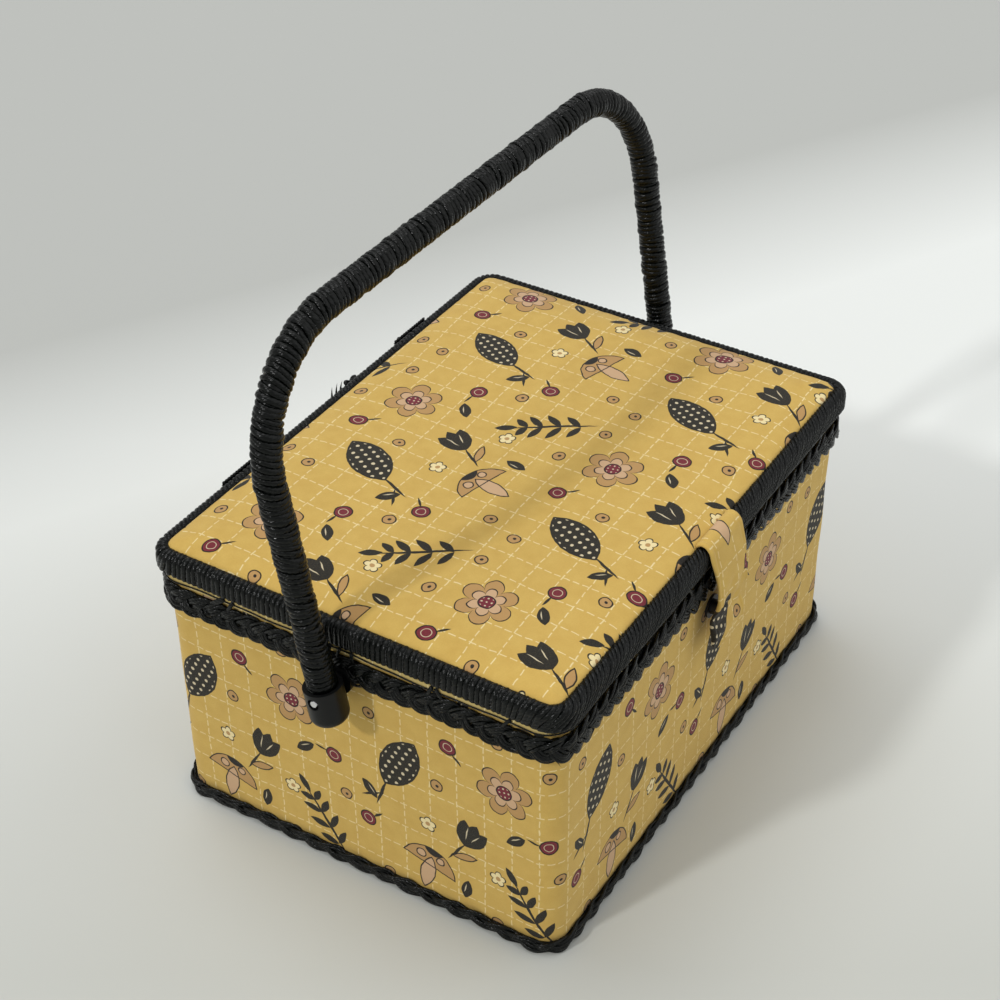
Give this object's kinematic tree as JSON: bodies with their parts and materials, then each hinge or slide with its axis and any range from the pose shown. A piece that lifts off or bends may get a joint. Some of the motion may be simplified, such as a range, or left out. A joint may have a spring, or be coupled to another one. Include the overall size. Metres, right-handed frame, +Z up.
{
  "type": "sewing carrier",
  "caption": "Fabric-covered sewing carrier with a padded hinged lid, cord-wound bail handle on side pivots, braided trims, closing tab and lift-out divided tray.",
  "frame": {"origin": "centre of the underside, on the surface that the carrier stands on", "axes": "+X along the long front, +Y from the front with the tab to the hinges, +Z up"},
  "size_m": [0.356, 0.2506, 0.3124],
  "materials": {
    "printed_fabric": "matte woven cotton",
    "strip_fabric": "matte woven cotton",
    "black_cord": "glossy wound cord",
    "black_plastic": "satin moulded",
    "board": "raw pressed board",
    "cane": "raw cane",
    "lining_fabric": "satin lining",
    "foam": "soft wadding",
    "base_sheet": "matte non-woven",
    "rivet_metal": "polished",
    "snap_metal": "dark plated",
    "tray_plastic": "smooth moulded",
    "pincushion_felt": "soft felt"
  },
  "bodies": {
    "case": {"base_cover": "base_sheet", "base_board": "board", "base_pad": "lining_fabric", "wall_boards": "board", "wall_cover": "printed_fabric", "wall_lining": "lining_fabric", "ledge_boards": "lining_fabric", "edge_binding": "strip_fabric", "lower_braid": "black_cord", "upper_braid": "black_cord", "snap_stud": "snap_metal", "pivot_boss_left": "black_plastic", "pivot_boss_right": "black_plastic", "rivet_left": "rivet_metal", "rivet_right": "rivet_metal", "rivet_washers": "rivet_metal", "hinge_pads_case": "black_cord", "hinge_pins": "rivet_metal"},
    "lid": {"lid_board": "board", "lid_frame": "cane", "lid_rim_cord": "black_cord", "lid_padding": "foam", "lid_cover": "printed_fabric", "lid_lining": "lining_fabric", "lid_pocket": "lining_fabric", "lid_pincushion": "pincushion_felt", "hinge_pads_lid": "black_cord", "tab_root": "printed_fabric"},
    "tab": {"tab_flap": "printed_fabric", "snap_socket": "snap_metal"},
    "handle": {"handle_rod": "cane", "handle_winding": "black_cord", "handle_cap_left": "black_plastic", "handle_cap_right": "black_plastic"},
    "tray": {"tray": "tray_plastic", "tray_long_divider": "tray_plastic", "tray_short_dividers": "tray_plastic"}
  },
  "joints": [
    {"name": "lid_hinge", "type": "hinge", "parent": "case", "child": "lid", "pos_m": [0, 0.1222, 0.1483], "axis": [-1, 0, 0], "range_deg": [0, 46]},
    {"name": "tab_fold", "type": "hinge", "parent": "lid", "child": "tab", "pos_m": [0, -0.12045, 0.1574], "axis": [-1, 0, 0], "range_deg": [0, 80]},
    {"name": "handle_pivot", "type": "hinge", "parent": "case", "child": "handle", "pos_m": [0, 0.0035, 0.131], "axis": [1, 0, 0], "range_deg": [-120, 138]},
    {"name": "tray_lift", "type": "slide", "parent": "case", "child": "tray", "axis": [0, 0, 1], "range_m": [0, 0.033]}
  ]
}
